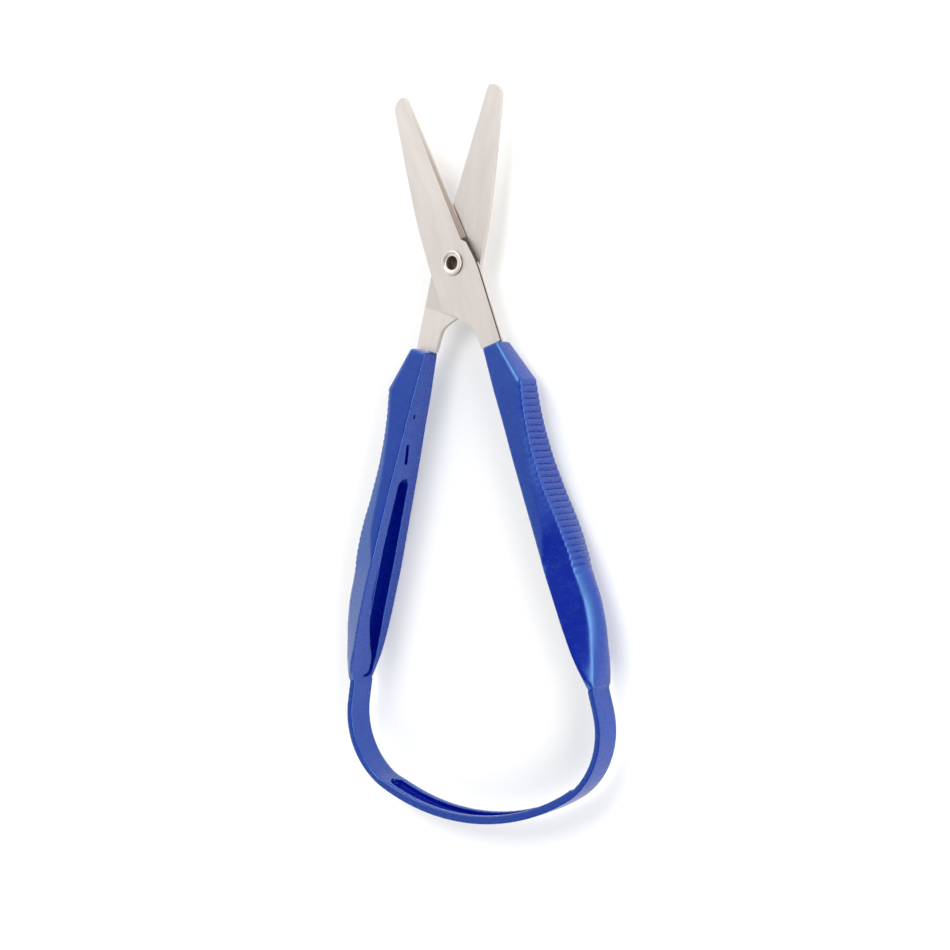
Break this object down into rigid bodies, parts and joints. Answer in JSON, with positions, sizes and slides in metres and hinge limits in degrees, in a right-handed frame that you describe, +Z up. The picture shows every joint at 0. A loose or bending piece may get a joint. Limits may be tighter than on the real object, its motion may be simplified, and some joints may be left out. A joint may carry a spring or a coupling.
{
  "type": "self-opening loop scissors",
  "caption": "Self-opening loop scissors: round-ended steel blades on a hollow rivet, with ribbed moulded grips joined behind by a springy band.",
  "frame": {"origin": "middle of the footprint, on the surface that the scissors lie on", "axes": "+Y towards the blade tips, +Z up along the rivet, +X to the side of the grip that carries the upper blade"},
  "size_m": [0.0858, 0.2033, 0.0154],
  "materials": {
    "blade_steel": "satin stainless steel, warm and pale",
    "rivet_steel": "plated steel, brighter than the blades",
    "blue_plastic": "royal blue moulded plastic, semi-gloss"
  },
  "bodies": {
    "left_half": {"lower_blade": "blade_steel", "rivet": "rivet_steel", "left_grip": "blue_plastic"},
    "right_half": {"upper_blade": "blade_steel", "right_grip": "blue_plastic"},
    "band_left_1": {"band_left_1": "blue_plastic"},
    "band_left_2": {"band_left_2": "blue_plastic"},
    "band_left_3": {"band_left_3": "blue_plastic"},
    "band_left_4": {"band_left_4": "blue_plastic"},
    "band_base_1": {"band_base_1": "blue_plastic"},
    "band_base_2": {"band_base_2": "blue_plastic"},
    "band_base_3": {"band_base_3": "blue_plastic"},
    "band_base_4": {"band_base_4": "blue_plastic"},
    "band_base_5": {"band_base_5": "blue_plastic"},
    "band_base_6": {"band_base_6": "blue_plastic"},
    "band_right_4": {"band_right_4": "blue_plastic"},
    "band_right_3": {"band_right_3": "blue_plastic"},
    "band_right_2": {"band_right_2": "blue_plastic"},
    "band_right_1": {"band_right_1": "blue_plastic"}
  },
  "joints": [
    {"name": "blade_pivot", "type": "hinge", "parent": "left_half", "child": "right_half", "pos_m": [0, 0.05384, 0.0077], "axis": [0, 0, -1], "range_deg": [0, 32], "stiffness_Nm_per_rad": 0.8},
    {"name": "flex_band_left_1", "type": "hinge", "parent": "left_half", "child": "band_left_1", "pos_m": [-0.04037, -0.06348, 0.0077], "axis": [0, 0, 1], "range_deg": [-37, 0]},
    {"name": "flex_band_left_2", "type": "hinge", "parent": "band_left_1", "child": "band_left_2", "pos_m": [-0.04188, -0.07097, 0.0077], "axis": [0, 0, 1], "range_deg": [-36, 0]},
    {"name": "flex_band_left_3", "type": "hinge", "parent": "band_left_2", "child": "band_left_3", "pos_m": [-0.04149, -0.07858, 0.0077], "axis": [0, 0, 1], "range_deg": [-14.5, 0]},
    {"name": "flex_band_left_4", "type": "hinge", "parent": "band_left_3", "child": "band_left_4", "pos_m": [-0.03853, -0.08559, 0.0077], "axis": [0, 0, 1], "range_deg": [0, 8]},
    {"name": "flex_band_base_1", "type": "hinge", "parent": "band_left_4", "child": "band_base_1", "pos_m": [-0.03336, -0.09118, 0.0077], "axis": [0, 0, 1], "range_deg": [0, 18.5]},
    {"name": "flex_band_base_2", "type": "hinge", "parent": "band_base_1", "child": "band_base_2", "pos_m": [-0.02294, -0.0965, 0.0077], "axis": [0, 0, 1], "range_deg": [0, 22.5]},
    {"name": "flex_band_base_3", "type": "hinge", "parent": "band_base_2", "child": "band_base_3", "pos_m": [-0.01167, -0.09968, 0.0077], "axis": [0, 0, 1], "range_deg": [0, 23.5]},
    {"name": "flex_band_right_1", "type": "hinge", "parent": "right_half", "child": "band_right_1", "pos_m": [0.04037, -0.06348, 0.0077], "axis": [0, 0, 1], "range_deg": [0, 37]},
    {"name": "flex_band_right_2", "type": "hinge", "parent": "band_right_1", "child": "band_right_2", "pos_m": [0.04188, -0.07097, 0.0077], "axis": [0, 0, 1], "range_deg": [0, 36]},
    {"name": "flex_band_right_3", "type": "hinge", "parent": "band_right_2", "child": "band_right_3", "pos_m": [0.04149, -0.07858, 0.0077], "axis": [0, 0, 1], "range_deg": [0, 14.5]},
    {"name": "flex_band_right_4", "type": "hinge", "parent": "band_right_3", "child": "band_right_4", "pos_m": [0.03853, -0.08559, 0.0077], "axis": [0, 0, 1], "range_deg": [-8, 0]},
    {"name": "flex_band_base_6", "type": "hinge", "parent": "band_right_4", "child": "band_base_6", "pos_m": [0.03336, -0.09118, 0.0077], "axis": [0, 0, 1], "range_deg": [-18.5, 0]},
    {"name": "flex_band_base_5", "type": "hinge", "parent": "band_base_6", "child": "band_base_5", "pos_m": [0.02294, -0.0965, 0.0077], "axis": [0, 0, 1], "range_deg": [-22.5, 0]},
    {"name": "flex_band_base_4", "type": "hinge", "parent": "band_base_5", "child": "band_base_4", "pos_m": [0.01167, -0.09968, 0.0077], "axis": [0, 0, 1], "range_deg": [-23.5, 0]}
  ],
  "couplings": [
    {"joint": "flex_band_left_1", "follows": "blade_pivot", "ratio": -1.1263},
    {"joint": "flex_band_left_2", "follows": "blade_pivot", "ratio": -1.1054},
    {"joint": "flex_band_left_3", "follows": "blade_pivot", "ratio": -0.4371},
    {"joint": "flex_band_left_4", "follows": "blade_pivot", "ratio": 0.2213},
    {"joint": "flex_band_base_1", "follows": "blade_pivot", "ratio": 0.5593},
    {"joint": "flex_band_base_2", "follows": "blade_pivot", "ratio": 0.6839},
    {"joint": "flex_band_base_3", "follows": "blade_pivot", "ratio": 0.7044},
    {"joint": "flex_band_right_1", "follows": "blade_pivot", "ratio": 1.1265},
    {"joint": "flex_band_right_2", "follows": "blade_pivot", "ratio": 1.1054},
    {"joint": "flex_band_right_3", "follows": "blade_pivot", "ratio": 0.4371},
    {"joint": "flex_band_right_4", "follows": "blade_pivot", "ratio": -0.2213},
    {"joint": "flex_band_base_6", "follows": "blade_pivot", "ratio": -0.5593},
    {"joint": "flex_band_base_5", "follows": "blade_pivot", "ratio": -0.6839},
    {"joint": "flex_band_base_4", "follows": "blade_pivot", "ratio": -0.7044}
  ]
}
